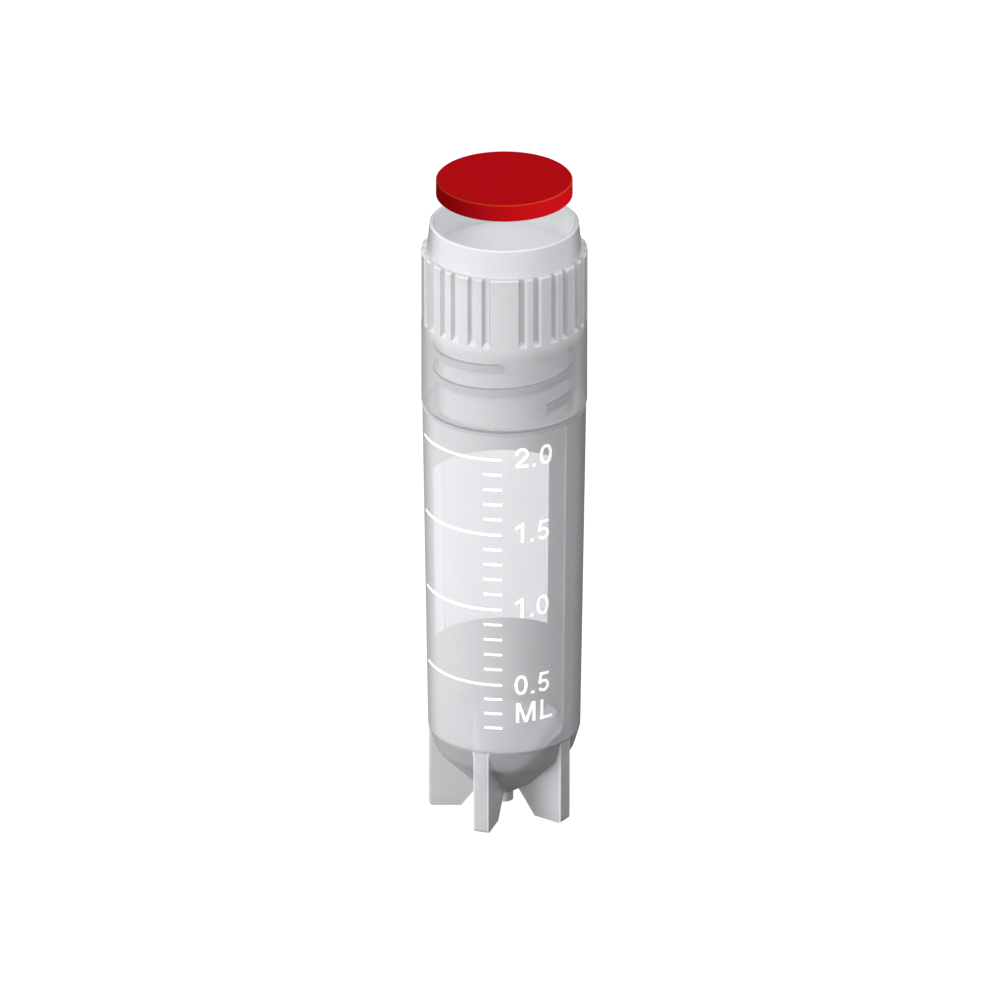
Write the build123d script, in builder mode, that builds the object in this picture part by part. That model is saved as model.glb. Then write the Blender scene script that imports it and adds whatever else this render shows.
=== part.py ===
from build123d import *

import os
from math import radians, tan

# Self-standing 2 mL cryogenic vial: a tube with an outside thread and a five-fin star
# foot, a screw cap with a silicone washer in it, and a disc that colour-codes the cap.
# Millimetres, +Z up. The origin is on the vial's axis, in the plane that its feet stand on.
# One fin of the foot points along -X, and the scale printed on the tube faces -Y.

# ---- Driving dimensions -------------------------------------------------------------

# Tube: heights, from the feet up
foot_height = 6.90          # feet to the line where the wall turns into the rounded bottom
body_length = 27.05         # from that line up to the shoulder
neck_length = 10.75         # shoulder to rim

# Tube: wall
rim_bore_r = 4.88           # bore at the rim
bore_draft = 0.5            # degrees, the bore narrows downwards
neck_wall = 0.34            # at the rim
shoulder_width = 1.03       # the shoulder's step from the neck out to the body
body_draft = 0.84           # degrees, the body narrows downwards
shoulder_bevel = 0.15
rim_bevel = 0.10

# Tube: rounded bottom, outside and inside
tip_height = 0.65           # lowest point of the rounded bottom, above the feet
side_knee_in = 0.50         # from the foot of the wall in to the upper knee
side_knee_up = 4.50         # tip up to the upper knee
side_knee_round = 2.0
floor_knee_in = 3.05        # from the foot of the wall in to the lower knee
floor_knee_up = 1.85        # tip up to the lower knee
floor_knee_round = 4.0
floor_thickness = 1.75      # on the axis
cavity_cone_height = 4.25   # tip of the cavity up to its straight wall
cavity_knee_in = 2.75
cavity_knee_up = 1.03
cavity_knee_round = 3.0
gate_nub_r = 0.70
gate_nub_clear = 0.34       # gap under the nub

# Tube: star foot
fin_count = 5
fin_thickness = 1.20
fin_sole_length = 2.43      # flat sole of a fin, along the radius
fin_slope = 52.0            # degrees, from the sole up to the rounded bottom
fin_toe_round = 0.30
fin_inset = 0.04            # from the foot of the wall in to a fin's outer face

# Thread, one start, right-handed
lead = 2.00
ridge_foot_width = 0.84     # width of a ridge where it leaves its wall
ridge_crest_width = 0.58
neck_ridge_height = 0.28
neck_ridge_turns = 1.89
neck_ridge_azimuth = -54.0  # degrees from +X to the ridge's lower end
neck_ridge_lift = 1.25      # shoulder to the middle of the ridge's lower end
cap_ridge_turns = 1.25
cap_ridge_lift = 0.75       # edge of the skirt to the middle of the ridge's lower end
flank_gap = 0.08            # between the flanks that carry the closed cap
crest_gap = 0.08            # the cap's ridge to the neck
root_gap = 0.12             # the neck's ridge to the cap's wall
ridge_root = 0.15           # how deep a ridge is rooted in its wall

# Cap
skirt_gap = 0.20            # skirt to shoulder, on the closed vial
skirt_wall = 0.70
threaded_depth = 6.45       # wide bore round the thread, from the skirt's edge
neck_gap = 0.12             # narrow bore above it to the neck
web = 1.00                  # between the cap's underside and its recess
recess_depth = 2.40
crown_height = 2.20         # ledge to the crown's rim
ledge_width = 0.44
crown_flare = 5.7           # degrees, the crown widens downwards
crown_wall = 0.36           # round the mouth of the recess
recess_draft = 0.5          # degrees
skirt_bevel = 0.12
ledge_bevel = 0.12
crown_bevel = 0.12

# Grip: grooves in pairs, on the left and right of the cap
groove_length = 5.65        # ledge down to the end of a groove
groove_depth = 0.36
groove_mouth = 0.66
groove_floor = 0.40
groove_spacing = 10.3       # degrees, between the two of a pair
pair_pitch = 24.0           # degrees
pairs_per_side = 7

# Washer
washer_thickness = 0.80
washer_width = 1.90
washer_gap = 0.05           # to the cap's bore

# Insert, drawn up out of its recess
insert_thickness = 1.35
insert_gap = 0.10           # to the recess, at its floor
insert_lift = 2.20          # crown's rim to the insert's underside
insert_edge = 0.08

# ---- Heights and radii that follow --------------------------------------------------

shoulder_z = foot_height + body_length
rim_z = shoulder_z + neck_length
underside_z = rim_z + washer_thickness
recess_floor_z = underside_z + web
crown_z = recess_floor_z + recess_depth
ledge_z = crown_z - crown_height
skirt_z = shoulder_z + skirt_gap
insert_z = crown_z + insert_lift
cavity_tip_z = tip_height + floor_thickness
cavity_wall_z = cavity_tip_z + cavity_cone_height

neck_r = rim_bore_r + neck_wall
neck_crest_r = neck_r + neck_ridge_height
body_r = neck_r + shoulder_width
base_r = body_r - body_length * tan(radians(body_draft))
cavity_r = rim_bore_r - (rim_z - cavity_wall_z) * tan(radians(bore_draft))

thread_bore_r = neck_crest_r + root_gap
cap_crest_r = neck_r + crest_gap
seal_bore_r = neck_r + neck_gap
cap_r = thread_bore_r + skirt_wall
crown_base_r = cap_r - ledge_width
crown_r = crown_base_r - crown_height * tan(radians(crown_flare))
recess_r = crown_r - crown_wall
recess_floor_r = recess_r - recess_depth * tan(radians(recess_draft))


# ---- Thread -------------------------------------------------------------------------

def thread_ridge(root_r, crest_r, turns):
    """One helical ridge between two radii, rising from z = 0 at azimuth 0."""
    outward = 1 if crest_r > root_r else -1
    flank_run = (ridge_foot_width - ridge_crest_width) / abs(crest_r - root_r)
    rooted_width = ridge_foot_width + flank_run * ridge_root
    with BuildPart() as ridge:
        with BuildLine() as path:
            Helix(pitch=lead, height=lead * turns, radius=root_r)
        start = Plane(path.line @ 0, x_dir=(1, 0, 0), z_dir=path.line % 0)
        with BuildSketch(start):
            with BuildLine():
                Polyline(
                    (-outward * ridge_root, -rooted_width / 2),
                    (crest_r - root_r, -ridge_crest_width / 2),
                    (crest_r - root_r, ridge_crest_width / 2),
                    (-outward * ridge_root, rooted_width / 2),
                    close=True,
                )
            make_face()
        sweep(is_frenet=True)
    return ridge.part


# The closed cap hangs on the underside of the neck's ridge. Both ridges follow one helix,
# and this is how far the cap's lies under the neck's.
ridge_drop = (ridge_foot_width + ridge_crest_width) / 2 + flank_gap
neck_ridge_z = shoulder_z + neck_ridge_lift
cap_ridge_z = skirt_z + cap_ridge_lift
cap_ridge_azimuth = neck_ridge_azimuth + 360 * (cap_ridge_z + ridge_drop - neck_ridge_z) / lead


# ---- Tube ---------------------------------------------------------------------------

# Star foot: the ring that holds every fin's outline, cut down to the fins
fin_r = base_r - fin_inset
sole_r = fin_r - fin_sole_length
fin_rise = sole_r * tan(radians(fin_slope)) / 2
with BuildPart() as star_foot:
    with BuildSketch(Plane.XZ) as fin_outline:
        with BuildLine():
            Polyline(
                (sole_r / 2, foot_height),
                (sole_r / 2, fin_rise),
                (sole_r, 0),
                (fin_r, 0),
                (fin_r, foot_height),
                close=True,
            )
        make_face()
        fillet(fin_outline.vertices().sort_by_distance((fin_r, 0))[0], fin_toe_round)
    revolve(axis=Axis.Z)
    with BuildSketch():
        with PolarLocations(0, fin_count, start_angle=180):
            Rectangle(2 * base_r, fin_thickness, align=(Align.MIN, Align.CENTER))
    extrude(amount=foot_height, mode=Mode.INTERSECT)

with BuildPart() as tube:
    # Outside, as if it were solid
    with BuildSketch(Plane.XZ) as outside:
        with BuildLine():
            floor_knee = (base_r - floor_knee_in, tip_height + floor_knee_up)
            side_knee = (base_r - side_knee_in, tip_height + side_knee_up)
            Polyline(
                (0, tip_height),
                floor_knee,
                side_knee,
                (base_r, foot_height),
                (body_r, shoulder_z),
                (neck_r, shoulder_z),
                (neck_r, rim_z - rim_bevel),
                (neck_r - rim_bevel, rim_z),
                (0, rim_z),
                close=True,
            )
        make_face()
        fillet(outside.vertices().sort_by_distance(floor_knee)[0], floor_knee_round)
        fillet(outside.vertices().sort_by_distance(side_knee)[0], side_knee_round)
        chamfer(outside.vertices().sort_by_distance((body_r, shoulder_z))[0], shoulder_bevel)
    revolve(axis=Axis.Z)
    add(star_foot.part)
    with BuildSketch(Plane.XY.offset(gate_nub_clear)):
        Circle(gate_nub_r)
    extrude(amount=floor_thickness)
    with Locations(Location((0, 0, neck_ridge_z), (0, 0, neck_ridge_azimuth))):
        add(thread_ridge(neck_r, neck_crest_r, neck_ridge_turns))
    # Bore, down to its rounded floor
    with BuildSketch(Plane.XZ) as inside:
        with BuildLine():
            cavity_knee = (cavity_r - cavity_knee_in, cavity_tip_z + cavity_knee_up)
            Polyline(
                (0, cavity_tip_z),
                cavity_knee,
                (cavity_r, cavity_wall_z),
                (rim_bore_r, rim_z),
                (0, rim_z),
                close=True,
            )
        make_face()
        fillet(inside.vertices().sort_by_distance(cavity_knee)[0], cavity_knee_round)
    revolve(axis=Axis.Z, mode=Mode.SUBTRACT)


# ---- Cap ----------------------------------------------------------------------------

# Groove: a keystone channel whose floor ramps out at its lower end, open at the ledge
with BuildPart() as groove:
    with BuildSketch(Plane.XY.offset(ledge_z - groove_length)):
        with BuildLine():
            Polyline(
                (cap_r - groove_depth, -groove_floor / 2),
                (cap_r, -groove_mouth / 2),
                (cap_r + groove_depth, -groove_mouth / 2),
                (cap_r + groove_depth, groove_mouth / 2),
                (cap_r, groove_mouth / 2),
                (cap_r - groove_depth, groove_floor / 2),
                close=True,
            )
        make_face()
    extrude(amount=groove_length + ledge_bevel)
    inner_end = groove.edges().filter_by(Axis.Y).group_by(Axis.Z)[0].sort_by(Axis.X)[0]
    chamfer(inner_end, groove_depth)

with BuildPart() as cap:
    # Outside and recess in one profile, as if it were solid below the recess
    with BuildSketch(Plane.XZ) as section:
        with BuildLine():
            Polyline(
                (0, skirt_z),
                (cap_r - skirt_bevel, skirt_z),
                (cap_r, skirt_z + skirt_bevel),
                (cap_r, ledge_z),
                (crown_base_r, ledge_z),
                (crown_r, crown_z),
                (recess_r, crown_z),
                (recess_floor_r, recess_floor_z),
                (0, recess_floor_z),
                close=True,
            )
        make_face()
        ledge_corner = section.vertices().sort_by_distance((cap_r, ledge_z))[0]
        chamfer(ledge_corner, ledge_bevel)
        for rim_corner in (crown_r, crown_z), (recess_r, crown_z):
            chamfer(section.vertices().sort_by_distance(rim_corner)[0], crown_bevel)
    revolve(axis=Axis.Z)
    # Bore: wide round the thread, narrower round the top of the neck
    with BuildSketch(Plane.XZ):
        with BuildLine():
            Polyline(
                (0, skirt_z),
                (thread_bore_r, skirt_z),
                (thread_bore_r, skirt_z + threaded_depth),
                (seal_bore_r, skirt_z + threaded_depth + thread_bore_r - seal_bore_r),
                (seal_bore_r, underside_z),
                (0, underside_z),
                close=True,
            )
        make_face()
    revolve(axis=Axis.Z, mode=Mode.SUBTRACT)
    with Locations(Location((0, 0, cap_ridge_z), (0, 0, cap_ridge_azimuth))):
        add(thread_ridge(thread_bore_r, cap_crest_r, cap_ridge_turns))
    # Grip
    middle_pair = (pairs_per_side - 1) / 2
    for side in (0, 180):
        for pair in range(pairs_per_side):
            pair_azimuth = side + (pair - middle_pair) * pair_pitch
            for azimuth in (pair_azimuth - groove_spacing / 2, pair_azimuth + groove_spacing / 2):
                add(groove.part, rotation=(0, 0, azimuth), mode=Mode.SUBTRACT)


# ---- Washer -------------------------------------------------------------------------

washer_r = seal_bore_r - washer_gap
with BuildPart() as washer:
    with BuildSketch(Plane.XY.offset(rim_z)):
        Circle(washer_r)
        Circle(washer_r - washer_width, mode=Mode.SUBTRACT)
    extrude(amount=washer_thickness)


# ---- Insert -------------------------------------------------------------------------

with BuildPart() as insert:
    with BuildSketch(Plane.XY.offset(insert_z)):
        Circle(recess_floor_r - insert_gap)
    extrude(amount=insert_thickness)
    chamfer(insert.edges(), insert_edge)


# ---- Files --------------------------------------------------------------------------

tube.part.label = "tube"
cap.part.label = "cap"
washer.part.label = "washer"
insert.part.label = "insert"

os.makedirs("parts", exist_ok=True)
export_step(tube.part, "parts/tube.step")
export_step(cap.part, "parts/cap.step")
export_step(washer.part, "parts/washer.step")
export_step(insert.part, "parts/insert.step")
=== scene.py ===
import math

import bpy
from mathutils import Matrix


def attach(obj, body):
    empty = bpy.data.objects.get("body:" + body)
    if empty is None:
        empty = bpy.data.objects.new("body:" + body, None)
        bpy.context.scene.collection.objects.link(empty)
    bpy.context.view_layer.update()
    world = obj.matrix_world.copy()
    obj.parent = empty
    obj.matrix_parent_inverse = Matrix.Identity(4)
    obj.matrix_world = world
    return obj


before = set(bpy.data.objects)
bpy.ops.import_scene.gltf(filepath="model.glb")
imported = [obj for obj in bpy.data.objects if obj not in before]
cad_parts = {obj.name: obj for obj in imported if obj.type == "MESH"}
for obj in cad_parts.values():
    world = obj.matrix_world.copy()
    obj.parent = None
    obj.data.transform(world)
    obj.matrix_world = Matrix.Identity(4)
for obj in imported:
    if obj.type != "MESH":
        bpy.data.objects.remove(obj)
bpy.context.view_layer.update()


# ---- Studio -------------------------------------------------------------------------
# White paper, a pale room and soft lamps. The tube and the cap are lit from their left,
# the cap weakly from its right too, and the disc from its front right. The camera stands
# far back on a long lens and looks down at the printed side.

scene = bpy.context.scene
scene.view_settings.view_transform = "Standard"
scene.cycles.transparent_max_bounces = 48
scene.cycles.max_bounces = 12
scene.cycles.use_denoising = True


# Painted shade: where the paper is seen through the vial it shows as a grey card, which gets
# darker to the right
card_left, card_right = -0.006, 0.005
card_bright, card_dim = 0.38, 0.06


def white_paper():
    """White to the camera, and a grey card of painted shade where it is seen through the vial.
    """
    material = bpy.data.materials.new("white_paper")
    material.use_nodes = True
    nodes, links = material.node_tree.nodes, material.node_tree.links
    shader = nodes["Principled BSDF"]
    shader.inputs["Base Color"].default_value = (0.16, 0.16, 0.16, 1)
    shader.inputs["Roughness"].default_value = 0.9
    shader.inputs["Specular IOR Level"].default_value = 0.0
    shader.inputs["Emission Color"].default_value = (1, 1, 1, 1)
    ray = nodes.new("ShaderNodeLightPath")
    place = nodes.new("ShaderNodeTexCoord")
    split = nodes.new("ShaderNodeSeparateXYZ")
    card = nodes.new("ShaderNodeMapRange")
    card.inputs["From Min"].default_value = card_left
    card.inputs["From Max"].default_value = card_right
    card.inputs["To Min"].default_value = card_bright
    card.inputs["To Max"].default_value = card_dim
    through = nodes.new("ShaderNodeMath")
    through.operation = "GREATER_THAN"
    through.inputs[1].default_value = 0.5
    seen = nodes.new("ShaderNodeMix")
    seen.inputs["A"].default_value = 1.0
    glow = nodes.new("ShaderNodeMath")
    glow.operation = "MULTIPLY"
    links.new(place.outputs["Object"], split.inputs["Vector"])
    links.new(split.outputs["X"], card.inputs["Value"])
    links.new(ray.outputs["Transparent Depth"], through.inputs[0])
    links.new(through.outputs["Value"], seen.inputs["Factor"])
    links.new(card.outputs["Result"], seen.inputs["B"])
    links.new(seen.outputs["Result"], glow.inputs[0])
    links.new(ray.outputs["Is Camera Ray"], glow.inputs[1])
    links.new(glow.outputs["Value"], shader.inputs["Emission Strength"])
    return material


paper_size = 4
bpy.ops.mesh.primitive_plane_add(size=paper_size, location=(0, 0, 0))
floor = bpy.context.object
floor.name = "floor"
floor.data.materials.append(white_paper())

room = bpy.data.worlds.new("room")
room.use_nodes = True
sky = room.node_tree.nodes["Background"]
sky.inputs["Color"].default_value = (0.97, 0.98, 1.0, 1)
sky.inputs["Strength"].default_value = 0.80
scene.world = room

lamp_size, lamp_distance, middle_of_vial = 0.35, 0.6, 0.025


def soft_lamp(name, turn, lift, power):
    """A round lamp that faces the vial, turned to its right and lifted, in degrees.

    It lights only the pieces that are linked to the collection that it gives back.
    """
    turn, lift = math.radians(turn), math.radians(lift)
    bpy.ops.object.light_add(
        type="AREA",
        location=(
            lamp_distance * math.sin(turn) * math.cos(lift),
            -lamp_distance * math.cos(turn) * math.cos(lift),
            middle_of_vial + lamp_distance * math.sin(lift),
        ),
        rotation=(math.radians(90) - lift, 0, turn),
    )
    lamp = bpy.context.object
    lamp.name = name
    lamp.data.shape = "DISK"
    lamp.data.size = lamp_size
    lamp.data.energy = power
    lit = bpy.data.collections.new("lit_by_" + name)
    lamp.light_linking.receiver_collection = lit
    return lit


lit_as_tube = soft_lamp("tube_lamp", -58, 15, 4.6)
lit_as_cap = soft_lamp("cap_lamp", -48, 22, 2.7)
filled_as_cap = soft_lamp("cap_fill_lamp", 82, 22, 0.8)
lit_as_disc = soft_lamp("disc_lamp", 42, 15, 3.6)

view_lift, view_distance, view_width = math.radians(24.8), 1.2, 0.0764
aim = (-0.000325, 0, 0.02562)
film_width = 36
bpy.ops.object.camera_add(
    location=(
        aim[0],
        -view_distance * math.cos(view_lift),
        aim[2] + view_distance * math.sin(view_lift),
    ),
    rotation=(math.radians(90) - view_lift, 0, 0),
)
camera = bpy.context.object
camera.data.sensor_width = film_width
camera.data.lens = film_width * view_distance / view_width
camera.data.clip_start = 0.05
camera.data.clip_end = 20
scene.camera = camera


# ---- Tube ---------------------------------------------------------------------------
# One moulding of natural polypropylene: body, threaded neck and star foot. It is milky
# and lets the far wall show through, and it is cloudiest where the moulding is thick.

def moulded_grain():
    """Faint mottling and flow of a moulded plastic: a colour, a roughness and a height."""
    group = bpy.data.node_groups.new("moulded_grain", "ShaderNodeTree")
    for name, kind in (
        ("Light", "NodeSocketColor"),
        ("Dark", "NodeSocketColor"),
        ("Scale", "NodeSocketFloat"),
    ):
        group.interface.new_socket(name, in_out="INPUT", socket_type=kind)
    for name, kind in (
        ("Color", "NodeSocketColor"),
        ("Roughness", "NodeSocketFloat"),
        ("Height", "NodeSocketFloat"),
    ):
        group.interface.new_socket(name, in_out="OUTPUT", socket_type=kind)
    nodes, links = group.nodes, group.links
    given = nodes.new("NodeGroupInput")
    out = nodes.new("NodeGroupOutput")
    place = nodes.new("ShaderNodeTexCoord")
    cloud = nodes.new("ShaderNodeTexNoise")
    cloud.inputs["Detail"].default_value = 3
    fine = nodes.new("ShaderNodeTexNoise")
    fine.inputs["Scale"].default_value = 9000
    fine.inputs["Detail"].default_value = 2
    tint = nodes.new("ShaderNodeMix")
    tint.data_type = "RGBA"
    gloss = nodes.new("ShaderNodeMapRange")
    gloss.inputs["To Min"].default_value = 0.24
    gloss.inputs["To Max"].default_value = 0.36
    links.new(place.outputs["Object"], cloud.inputs["Vector"])
    links.new(place.outputs["Object"], fine.inputs["Vector"])
    links.new(given.outputs["Scale"], cloud.inputs["Scale"])
    links.new(cloud.outputs["Fac"], tint.inputs["Factor"])
    links.new(given.outputs["Dark"], tint.inputs["A"])
    links.new(given.outputs["Light"], tint.inputs["B"])
    links.new(cloud.outputs["Fac"], gloss.inputs["Value"])
    links.new(tint.outputs["Result"], out.inputs["Color"])
    links.new(gloss.outputs["Result"], out.inputs["Roughness"])
    links.new(fine.outputs["Fac"], out.inputs["Height"])
    return group


def moulding_zone():
    """1 where a round moulding is past a cone and past a radius, with soft steps.

    The cone stands at Height on the axis and rises outwards by Slope. A step below zero
    turns its side round.
    """
    group = bpy.data.node_groups.new("moulding_zone", "ShaderNodeTree")
    for name in ("Height", "Slope", "Height Step", "Radius", "Radius Step"):
        group.interface.new_socket(name, in_out="INPUT", socket_type="NodeSocketFloat")
    group.interface.new_socket("Zone", in_out="OUTPUT", socket_type="NodeSocketFloat")
    nodes, links = group.nodes, group.links
    given = nodes.new("NodeGroupInput")
    out = nodes.new("NodeGroupOutput")
    place = nodes.new("ShaderNodeTexCoord")
    split = nodes.new("ShaderNodeSeparateXYZ")
    flat = nodes.new("ShaderNodeCombineXYZ")
    radius = nodes.new("ShaderNodeVectorMath")
    radius.operation = "LENGTH"
    rise = nodes.new("ShaderNodeMath")
    rise.operation = "MULTIPLY"
    level = nodes.new("ShaderNodeMath")
    level.operation = "SUBTRACT"
    both = nodes.new("ShaderNodeMath")
    both.operation = "MULTIPLY"
    links.new(place.outputs["Object"], split.inputs["Vector"])
    links.new(split.outputs["X"], flat.inputs["X"])
    links.new(split.outputs["Y"], flat.inputs["Y"])
    links.new(flat.outputs["Vector"], radius.inputs[0])
    links.new(radius.outputs["Value"], rise.inputs[0])
    links.new(given.outputs["Slope"], rise.inputs[1])
    links.new(split.outputs["Z"], level.inputs[0])
    links.new(rise.outputs["Value"], level.inputs[1])
    for value, low, side in ((level, "Height", 0), (radius, "Radius", 1)):
        end = nodes.new("ShaderNodeMath")
        end.operation = "ADD"
        step = nodes.new("ShaderNodeMapRange")
        step.interpolation_type = "SMOOTHSTEP"
        links.new(given.outputs[low], end.inputs[0])
        links.new(given.outputs[low + " Step"], end.inputs[1])
        links.new(value.outputs["Value"], step.inputs["Value"])
        links.new(given.outputs[low], step.inputs["From Min"])
        links.new(end.outputs["Value"], step.inputs["From Max"])
        links.new(step.outputs["Result"], both.inputs[side])
    links.new(both.outputs["Value"], out.inputs["Zone"])
    return group


fin_count = 5
fin_top, fin_half_width = 0.00688, 0.00070
rim_r, rim_edge_aside = 0.00568, 0.00050


def star_foot_fins():
    """1 on the five fins of the star foot, and 1 along the long edges of their rims, where a
    highlight is painted.
    """
    group = bpy.data.node_groups.new("star_foot_fins", "ShaderNodeTree")
    for name in ("Fin", "Rim Edge"):
        group.interface.new_socket(name, in_out="OUTPUT", socket_type="NodeSocketFloat")
    nodes, links = group.nodes, group.links
    out = nodes.new("NodeGroupOutput")
    place = nodes.new("ShaderNodeTexCoord")
    split = nodes.new("ShaderNodeSeparateXYZ")
    flat = nodes.new("ShaderNodeCombineXYZ")
    links.new(place.outputs["Object"], split.inputs["Vector"])
    links.new(split.outputs["X"], flat.inputs["X"])
    links.new(split.outputs["Y"], flat.inputs["Y"])
    radius = nodes.new("ShaderNodeVectorMath")
    radius.operation = "LENGTH"
    links.new(flat.outputs["Vector"], radius.inputs[0])

    def worked_out(operation, *values):
        node = nodes.new("ShaderNodeMath")
        node.operation = operation
        for number, value in enumerate(values):
            if isinstance(value, (int, float)):
                node.inputs[number].default_value = value
            else:
                links.new(value, node.inputs[number])
        return node.outputs["Value"]

    def ramp(value, start, end):
        node = nodes.new("ShaderNodeMapRange")
        node.inputs["From Min"].default_value = start
        node.inputs["From Max"].default_value = end
        links.new(value, node.inputs["Value"])
        return node.outputs["Result"]

    # How far a point is aside of the middle plane of the nearest fin. The fins are a
    # whole space apart, and the X axis runs out midway between two of them.
    half_space = math.pi / fin_count
    turn = worked_out("ARCTAN2", split.outputs["Y"], split.outputs["X"])
    turn = worked_out("SUBTRACT", turn, half_space)
    turn = worked_out("WRAP", turn, half_space, -half_space)
    aside = worked_out("MULTIPLY", worked_out("SINE", turn), radius.outputs["Value"])
    aside = worked_out("ABSOLUTE", aside)
    below = ramp(split.outputs["Z"], fin_top, fin_top - 0.00004)
    within = ramp(aside, fin_half_width, fin_half_width - 0.00006)
    outward = ramp(radius.outputs["Value"], rim_r, rim_r + 0.00006)
    near_edge = ramp(aside, rim_edge_aside, rim_edge_aside + 0.00004)
    fin = worked_out("MULTIPLY", below, within)
    rim = worked_out("MULTIPLY", fin, outward)
    rim = worked_out("MULTIPLY", rim, near_edge)
    links.new(fin, out.inputs["Fin"])
    links.new(rim, out.inputs["Rim Edge"])
    return group


grain = moulded_grain()
zone = moulding_zone()
fins = star_foot_fins()


def past(height, slope, height_step, radius=-1.0, radius_step=0.001):
    """The zone past a cone and past a radius, as milky_plastic takes it."""
    values = {
        "Height": height,
        "Slope": slope,
        "Height Step": height_step,
        "Radius": radius,
        "Radius Step": radius_step,
    }
    return zone, "Zone", values


# How far a surface is turned away where it starts and ends to count as seen edge on
edge = (0.38, 0.62)
late_edge = (0.70, 0.95)
# Painted shade of a wall seen edge on: how dark it gets, and where it starts and ends
rim_shade, rim_start, rim_end = 0.50, 0.40, 0.90
inside_share = 0.35


def milky_plastic(name, light, dark, cloud_scale, opacity, zones):
    """Milky plastic, whose opacity and painted shade change from zone to zone of the moulding.

    An opacity is (face on, edge on, start of the edge, end of the edge). Each zone is
    ((group, its output, its values), opacity, level of painted shade or highlight), and lies
    over the zones before it.
    """
    material = bpy.data.materials.new(name)
    material.use_nodes = True
    nodes, links = material.node_tree.nodes, material.node_tree.links
    shader = nodes["Principled BSDF"]
    shader.inputs["Specular IOR Level"].default_value = 0.25
    pattern = nodes.new("ShaderNodeGroup")
    pattern.node_tree = grain
    pattern.inputs["Light"].default_value = light
    pattern.inputs["Dark"].default_value = dark
    pattern.inputs["Scale"].default_value = cloud_scale
    bump = nodes.new("ShaderNodeBump")
    bump.inputs["Strength"].default_value = 0.03
    bump.inputs["Distance"].default_value = 0.00002
    facing = nodes.new("ShaderNodeLayerWeight")
    facing.inputs["Blend"].default_value = 0.5

    def from_face_to_edge(face_on, edge_on, start, end):
        step = nodes.new("ShaderNodeMapRange")
        step.interpolation_type = "SMOOTHSTEP"
        step.inputs["From Min"].default_value = start
        step.inputs["From Max"].default_value = end
        step.inputs["To Min"].default_value = face_on
        step.inputs["To Max"].default_value = edge_on
        links.new(facing.outputs["Facing"], step.inputs["Value"])
        return step.outputs["Result"]

    alpha = from_face_to_edge(*opacity)
    # Painted shade: the colour darkens where a wall is seen edge on, for the light that is
    # lost on its longer way through it
    shade = from_face_to_edge(1.0, rim_shade, rim_start, rim_end)
    for (group, output, values), zone_opacity, painted_light_level in zones:
        mask = nodes.new("ShaderNodeGroup")
        mask.node_tree = group
        for socket, value in values.items():
            mask.inputs[socket].default_value = value
        if zone_opacity:
            over = nodes.new("ShaderNodeMix")
            links.new(mask.outputs[output], over.inputs["Factor"])
            links.new(alpha, over.inputs["A"])
            links.new(from_face_to_edge(*zone_opacity), over.inputs["B"])
            alpha = over.outputs["Result"]
        # Painted shade or highlight: the zone's colour is scaled by its level
        if painted_light_level:
            painted_light_mix = nodes.new("ShaderNodeMix")
            painted_light_mix.inputs["B"].default_value = painted_light_level
            links.new(mask.outputs[output], painted_light_mix.inputs["Factor"])
            links.new(shade, painted_light_mix.inputs["A"])
            shade = painted_light_mix.outputs["Result"]
    colour = nodes.new("ShaderNodeVectorMath")
    colour.operation = "SCALE"
    links.new(pattern.outputs["Color"], colour.inputs[0])
    links.new(shade, colour.inputs["Scale"])

    # A wall counts for less where it is seen from inside the plastic
    side = nodes.new("ShaderNodeNewGeometry")
    inner = nodes.new("ShaderNodeMapRange")
    inner.inputs["To Min"].default_value = 1.0
    inner.inputs["To Max"].default_value = inside_share
    total = nodes.new("ShaderNodeMath")
    total.operation = "MULTIPLY"
    links.new(side.outputs["Backfacing"], inner.inputs["Value"])
    links.new(inner.outputs["Result"], total.inputs[0])
    links.new(alpha, total.inputs[1])
    links.new(total.outputs["Value"], shader.inputs["Alpha"])
    links.new(colour.outputs["Vector"], shader.inputs["Base Color"])
    links.new(pattern.outputs["Roughness"], shader.inputs["Roughness"])
    links.new(pattern.outputs["Height"], bump.inputs["Height"])
    links.new(bump.outputs["Normal"], shader.inputs["Normal"])
    return material


bore_r, bore_cone, bore_slope = 0.00510, 0.0014, 0.85
cavity_floor_r, cavity_floor_top = 0.0046, 0.0068
crease_r, crease_z = 0.0056, 0.00702
bottom_cone, bottom_slope = 0.0018, 0.87
thread_z, ridge_r, crest_r = 0.0341, 0.00526, 0.00542
shoulder_r, shoulder_z = 0.0057, 0.0337
solid = (0.75, 0.85, *edge)
thick = (0.80, 0.85, *edge)

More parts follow.
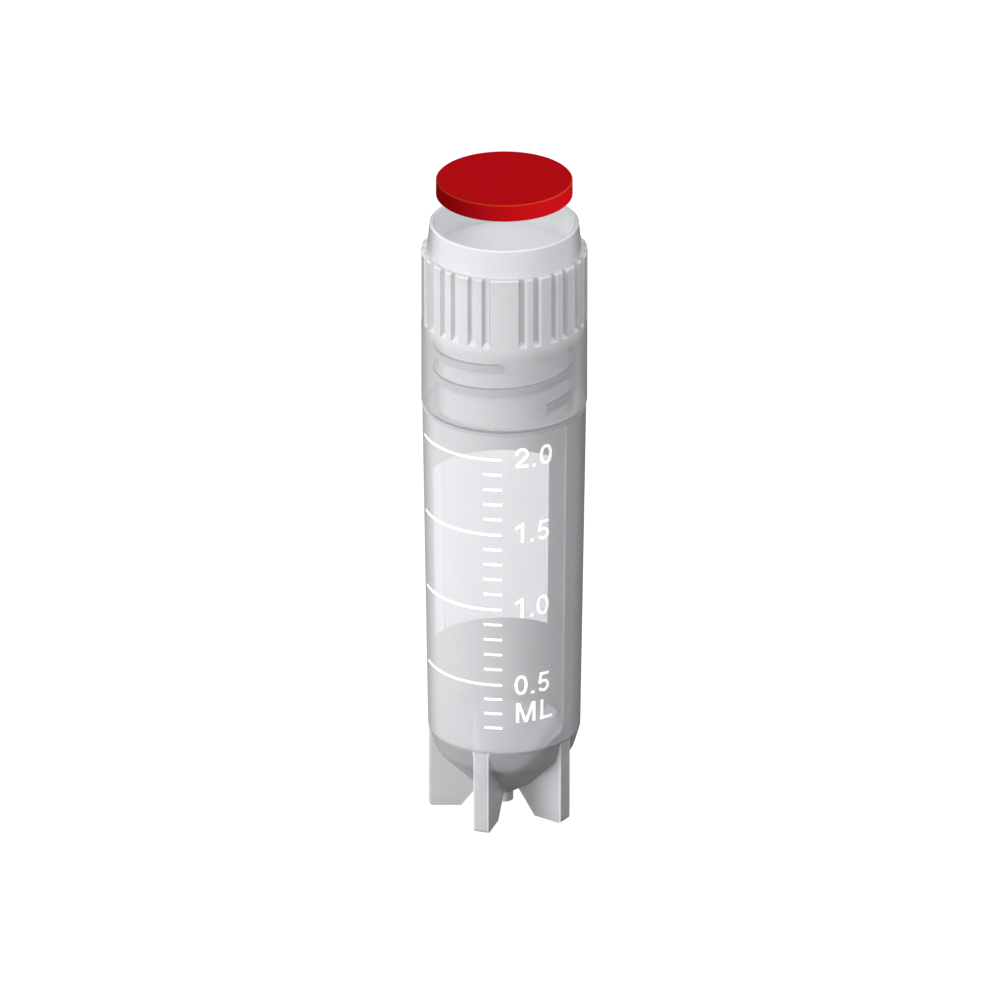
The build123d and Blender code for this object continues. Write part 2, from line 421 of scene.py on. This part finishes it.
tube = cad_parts["tube"]
lit_as_tube.objects.link(tube)
tube.data.materials.clear()
tube.data.materials.append(
    milky_plastic(
        "tube_polypropylene",
        light=(0.69, 0.70, 0.715, 1),
        dark=(0.65, 0.66, 0.675, 1),
        cloud_scale=260,
        opacity=(0.46, 0.58, *edge),
        zones=(
            # Bore, and the rounded floor of the cavity
            (
                past(bore_cone, bore_slope, 0.0002, bore_r, -0.0001),
                (0.18, 0.70, *late_edge),
                1.0,
            ),
            (
                past(cavity_floor_top, 0, -0.0008, cavity_floor_r, -0.0002),
                (0.40, 0.80, 0.60, 0.95),
                1.0,
            ),
            # Crease over the rounded bottom, and the bottom, both darkened with painted shade
            (past(crease_z, 0, -0.00002, crease_r, 0.0001), thick, 0.55),
            (past(bottom_cone, bottom_slope, -0.0002), (0.60, 0.80, *edge), 0.50),
            # Fins of the star foot, darkened with painted shade, and a painted highlight along
            # the edges of their rims
            ((fins, "Fin", {}), (0.72, 0.85, *edge), 0.80),
            ((fins, "Rim Edge", {}), None, 1.15),
            # Ridge of the thread, and its crest, both darkened with painted shade
            (past(thread_z, 0, 0.0001, ridge_r, 0.00004), solid, 0.22),
            (past(thread_z, 0, 0.0001, crest_r, 0.00003), None, 0.56),
            # Edge of the shoulder, darkened with painted shade where the cap meets it
            (past(shoulder_z, 0, 0.0001, shoulder_r, 0.0001), thick, 0.60),
        ),
    )
)


# ---- Scale --------------------------------------------------------------------------
# White ink printed on the wall: four long lines that run round to the left, and short
# ticks between and under them. Each is drawn just off the wall and then laid on it.

ink_lift, ink_coat = 0.000012, 0.000014
drawn_r = 0.0061
line_height = 0.00019
line_end, line_step = math.radians(-1.5), math.radians(1.5)
line_steps, tick_steps = 50, 9
line_levels = (0.03181, 0.02549, 0.01915, 0.01276)
tick_spacings = (0.00126, 0.00126, 0.00127, 0.00122)
tick_counts = (4, 4, 4, 3)


def white_ink(name, glow):
    """Opaque white ink with painted light: it glows a little so that it stays white in shade.
    """
    material = bpy.data.materials.new(name)
    material.use_nodes = True
    nodes, links = material.node_tree.nodes, material.node_tree.links
    shader = nodes["Principled BSDF"]
    shader.inputs["Specular IOR Level"].default_value = 0.2
    shader.inputs["Emission Color"].default_value = (1, 1, 1, 1)
    shader.inputs["Emission Strength"].default_value = glow
    pattern = nodes.new("ShaderNodeGroup")
    pattern.node_tree = grain
    pattern.inputs["Light"].default_value = (0.96, 0.96, 0.96, 1)
    pattern.inputs["Dark"].default_value = (0.88, 0.88, 0.89, 1)
    pattern.inputs["Scale"].default_value = 900
    links.new(pattern.outputs["Color"], shader.inputs["Base Color"])
    links.new(pattern.outputs["Roughness"], shader.inputs["Roughness"])
    return material


scale_ink = white_ink("scale_ink", 0.50)


def lay_on_wall(piece, ink=scale_ink):
    """Seats a thin field of ink on the tube, face out, and gives it its thickness."""
    bpy.ops.object.select_all(action="DESELECT")
    piece.select_set(True)
    bpy.context.view_layer.objects.active = piece
    seat = piece.modifiers.new("seat", "SHRINKWRAP")
    seat.target = tube
    seat.wrap_method = "NEAREST_SURFACEPOINT"
    seat.wrap_mode = "OUTSIDE_SURFACE"
    seat.offset = ink_lift
    bpy.ops.object.modifier_apply(modifier="seat")
    for face in piece.data.polygons:
        face.select = face.normal.x * face.center.x + face.normal.y * face.center.y < 0
    bpy.ops.object.mode_set(mode="EDIT")
    bpy.ops.mesh.select_mode(type="FACE")
    bpy.ops.mesh.flip_normals()
    bpy.ops.mesh.select_mode(type="VERT")
    bpy.ops.object.mode_set(mode="OBJECT")
    coat = piece.modifiers.new("coat", "SOLIDIFY")
    coat.thickness = ink_coat
    coat.offset = 1
    bpy.ops.object.modifier_apply(modifier="coat")
    piece.data.materials.append(ink)
    lit_as_tube.objects.link(piece)
    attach(piece, "tube")


def wall_band(name, z_low, height, end, step, steps):
    """A band round the wall, which ends at one angle and starts some steps left of it."""
    bpy.ops.object.select_all(action="DESELECT")
    bpy.ops.mesh.primitive_circle_add(
        vertices=round(math.tau / step),
        radius=drawn_r,
        location=(0, 0, z_low),
        rotation=(0, 0, end),
    )
    band = bpy.context.object
    band.name = name
    bpy.ops.object.transform_apply()
    bpy.ops.object.mode_set(mode="EDIT")
    bpy.ops.mesh.select_all(action="SELECT")
    bpy.ops.mesh.extrude_edges_move(TRANSFORM_OT_translate={"value": (0, 0, height)})
    bpy.ops.mesh.select_all(action="DESELECT")
    bpy.ops.mesh.select_mode(type="FACE")
    bpy.ops.object.mode_set(mode="OBJECT")
    for face in band.data.polygons:
        turn_left = (end - math.atan2(face.center.x, -face.center.y)) % math.tau
        face.select = turn_left > steps * step
    bpy.ops.object.mode_set(mode="EDIT")
    bpy.ops.mesh.delete(type="FACE")
    bpy.ops.mesh.select_mode(type="VERT")
    bpy.ops.object.mode_set(mode="OBJECT")
    return band


for number, (level, spacing, ticks) in enumerate(zip(line_levels, tick_spacings, tick_counts)):
    low = level - line_height / 2
    name = f"scale_line_{number}"
    lay_on_wall(wall_band(name, low, line_height, line_end, line_step, line_steps))
    for tick in range(1, ticks + 1):
        low = level - spacing * tick - line_height / 2
        name = f"scale_tick_{number}_{tick}"
        lay_on_wall(wall_band(name, low, line_height, line_end, line_step, tick_steps))


# ---- Numerals -----------------------------------------------------------------------
# Plain upright figures in the same ink, right of the scale, with the unit under them.
# Each is drawn flat with strokes of one pen, and then wrapped round the wall.

mm = 0.001
pen = 0.24
figure_height, last_width = 1.66, 1.1
spin_step = math.radians(12)
cuts = 30

# Strokes of each figure, in millimetres and degrees: where the pen is set down, where it
# heads, and its moves, which are straight runs or turns to the right (radius, angle).
half_side, side, round_end = (1.305, 22.6), (1.305, 45.2), (0.33, 134.8)
strokes_of = {
    "0": [(0.135, 0.84, 90, [half_side, round_end, side, round_end, half_side])],
    "1": [(0.575, 0, 90, [figure_height]), (0.03, 1.20, 32, [0.50])],
    "2": [(0.154, 1.041, 105, [(0.40, 242), 0.95]), (0.02, 0.135, 0, [1.06])],
    "5": [
        (0.22, 1.545, 0, [0.78]),
        (0.315, figure_height, -98, [0.90]),
        (0.174, 0.735, 60, [(0.40, 300)]),
    ],
    "M": [
        (0.135, 0, 90, [figure_height]),
        (1.485, 0, 90, [figure_height]),
        (0.17, 1.75, -69.9, [1.95]),
        (1.45, 1.75, -110.1, [1.95]),
    ],
    "L": [(0.135, 0, 90, [figure_height]), (0, 0.135, 0, [1.10])],
    ".": [(0, 0.135, 0, [0.29])],
}


def pen_stroke(x, y, heading, moves):
    """One flat stroke: a pen's edge that is extruded along runs and spun round turns."""
    heading = math.radians(heading)
    bpy.ops.mesh.primitive_plane_add(size=pen, location=(x, y, 0), rotation=(0, 0, heading))
    stroke = bpy.context.object
    bpy.ops.object.transform_apply()
    bpy.ops.object.mode_set(mode="EDIT")
    bpy.ops.mesh.select_all(action="DESELECT")
    bpy.ops.object.mode_set(mode="OBJECT")
    for vertex in stroke.data.vertices:
        ahead = (vertex.co.x - x) * math.cos(heading) + (vertex.co.y - y) * math.sin(heading)
        vertex.select = ahead < 0
    bpy.ops.object.mode_set(mode="EDIT")
    bpy.ops.mesh.delete(type="VERT")
    bpy.ops.mesh.select_all(action="SELECT")
    back = (-math.cos(heading) * pen / 2, -math.sin(heading) * pen / 2, 0)
    bpy.ops.transform.translate(value=back)
    for move in moves:
        if isinstance(move, tuple):
            radius, turn = move[0], math.radians(move[1])
            centre = (x + radius * math.sin(heading), y - radius * math.cos(heading), 0)
            steps = math.ceil(turn / spin_step)
            bpy.ops.mesh.spin(steps=steps, angle=turn, center=centre, axis=(0, 0, 1))
            heading -= turn
            x = centre[0] - radius * math.sin(heading)
            y = centre[1] + radius * math.cos(heading)
        else:
            run = (move * math.cos(heading), move * math.sin(heading), 0)
            bpy.ops.mesh.extrude_edges_move(TRANSFORM_OT_translate={"value": run})
            x, y = x + run[0], y + run[1]
    bpy.ops.object.mode_set(mode="OBJECT")
    return stroke


def label(name, signs, lefts, z_low):
    """Figures at distances along the wall from its front, wrapped round it at a height."""
    strokes = []
    for sign, left in zip(signs, lefts):
        for x, y, heading, moves in strokes_of[sign]:
            strokes.append(pen_stroke(left + x, y, heading, moves))
    bpy.ops.object.select_all(action="DESELECT")
    for stroke in strokes:
        stroke.select_set(True)
    bpy.context.view_layer.objects.active = strokes[0]
    bpy.ops.object.join()
    words = bpy.context.object
    words.name = name
    bpy.ops.object.mode_set(mode="EDIT")
    for edge, outward in ((figure_height, 1), (0, -1)):
        bpy.ops.mesh.select_all(action="SELECT")
        bpy.ops.mesh.bisect(plane_co=(0, edge, 0), plane_no=(0, outward, 0), clear_outer=True)
    # Cuts across, so that the flat strokes can follow the round wall
    for cut in range(1, cuts):
        bpy.ops.mesh.select_all(action="SELECT")
        place = lefts[0] + (lefts[-1] + last_width - lefts[0]) * cut / cuts
        bpy.ops.mesh.bisect(plane_co=(place, 0, 0), plane_no=(1, 0, 0))
    bpy.ops.object.mode_set(mode="OBJECT")
    words.scale = (mm, mm, mm)
    words.rotation_euler = (math.radians(90), 0, 0)
    bpy.ops.object.transform_apply()
    words.location = (0, -drawn_r, z_low)
    reach = [vertex.co.x for vertex in words.data.vertices]
    bend = words.modifiers.new("bend", "SIMPLE_DEFORM")
    bend.deform_method = "BEND"
    bend.deform_axis = "Z"
    bend.angle = (max(reach) - min(reach)) / drawn_r
    bpy.ops.object.modifier_apply(modifier="bend")
    bpy.ops.object.transform_apply()
    return words


for signs, lefts, z_low in (
    ("2.0", (0.80, 2.15, 2.72), 0.03110),
    ("1.5", (0.82, 2.02, 2.56), 0.02479),
    ("1.0", (0.82, 2.03, 2.56), 0.01844),
    ("0.5", (0.80, 2.15, 2.71), 0.01187),
    ("ML", (0.93, 2.97), 0.00953),
):
    lay_on_wall(label("label_" + signs, signs, lefts, z_low))


# ---- Writing panel ------------------------------------------------------------------
# A white field for notes, printed in one pass of the same ink on the back of the tube,
# from where it shows through both walls.

panel_low, panel_height = 0.0129, 0.0141
panel_end, panel_step, panel_steps = math.radians(242), math.radians(2), 48
panel = wall_band("writing_panel", panel_low, panel_height, panel_end, panel_step, panel_steps)
# The panel's ink glows more, with painted light, so that it shows bright through both walls
lay_on_wall(panel, white_ink("panel_ink", 0.365))


# ---- Cap ----------------------------------------------------------------------------
# One moulding of the same plastic, thicker and less clear round the crown and the grip
# than in the skirt, where the thread of the neck shows through.

grip_z = 0.0400
cap_bore_r, cap_bore_top = 0.00575, 0.0456
recess_r, recess_floor_z = 0.00532, 0.0464
cloudy = (0.78, 0.90, *edge)

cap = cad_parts["cap"]
lit_as_cap.objects.link(cap)
filled_as_cap.objects.link(cap)
cap.data.materials.clear()
cap.data.materials.append(
    milky_plastic(
        "cap_polypropylene",
        light=(0.79, 0.795, 0.805, 1),
        dark=(0.75, 0.755, 0.767, 1),
        cloud_scale=300,
        opacity=(0.30, 0.52, *edge),
        zones=(
            # Grip and crown
            (past(grip_z, 0, 0.0010), cloudy, None),
            # Bore and inside thread
            (
                past(cap_bore_top, 0, -0.0001, cap_bore_r, -0.0001),
                (0.06, 0.30, *late_edge),
                1.0,
            ),
            # Recess
            (past(recess_floor_z, 0, 0.0001, recess_r, -0.00002), cloudy, 1.0),
        ),
    )
)


# ---- Washer -------------------------------------------------------------------------
# A flat ring stamped from translucent silicone sheet. It seals between the rim of the
# tube and the cap, and is hidden in use.

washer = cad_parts["washer"]
lit_as_cap.objects.link(washer)
washer.data.materials.clear()
washer.data.materials.append(
    milky_plastic(
        "washer_silicone",
        light=(0.66, 0.66, 0.66, 1),
        dark=(0.60, 0.60, 0.60, 1),
        cloud_scale=500,
        opacity=(0.80, 0.90, *edge),
        zones=(),
    )
)


# ---- Insert -------------------------------------------------------------------------
# A disc moulded of opaque red polypropylene, pressed into the recess of the cap to code
# it by colour. Here it is lifted out. It throws no red light into the recess.

bevel_r, bevel_z, bevel_step = 0.00509, 0.05236, 0.00001

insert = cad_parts["insert"]
insert.data.materials.clear()
red = bpy.data.materials.new("insert_polypropylene")
red.use_nodes = True
nodes, links = red.node_tree.nodes, red.node_tree.links
shader = nodes["Principled BSDF"]
shader.inputs["Specular IOR Level"].default_value = 0.0
pattern = nodes.new("ShaderNodeGroup")
pattern.node_tree = grain
pattern.inputs["Light"].default_value = (0.44, 0.004, 0.007, 1)
pattern.inputs["Dark"].default_value = (0.41, 0.0035, 0.006, 1)
pattern.inputs["Scale"].default_value = 400
# The bevel round the top is paler, because it catches the light
group, output, values = past(bevel_z, 0, bevel_step, bevel_r, bevel_step)
bevel = nodes.new("ShaderNodeGroup")
bevel.node_tree = group
for socket, value in values.items():
    bevel.inputs[socket].default_value = value
colour = nodes.new("ShaderNodeMix")
colour.data_type = "RGBA"
colour.inputs["B"].default_value = (0.43, 0.030, 0.010, 1)
links.new(bevel.outputs[output], colour.inputs["Factor"])
links.new(pattern.outputs["Color"], colour.inputs["A"])
links.new(colour.outputs["Result"], shader.inputs["Base Color"])
links.new(pattern.outputs["Roughness"], shader.inputs["Roughness"])
insert.data.materials.append(red)
insert.visible_diffuse = False
lit_as_disc.objects.link(insert)
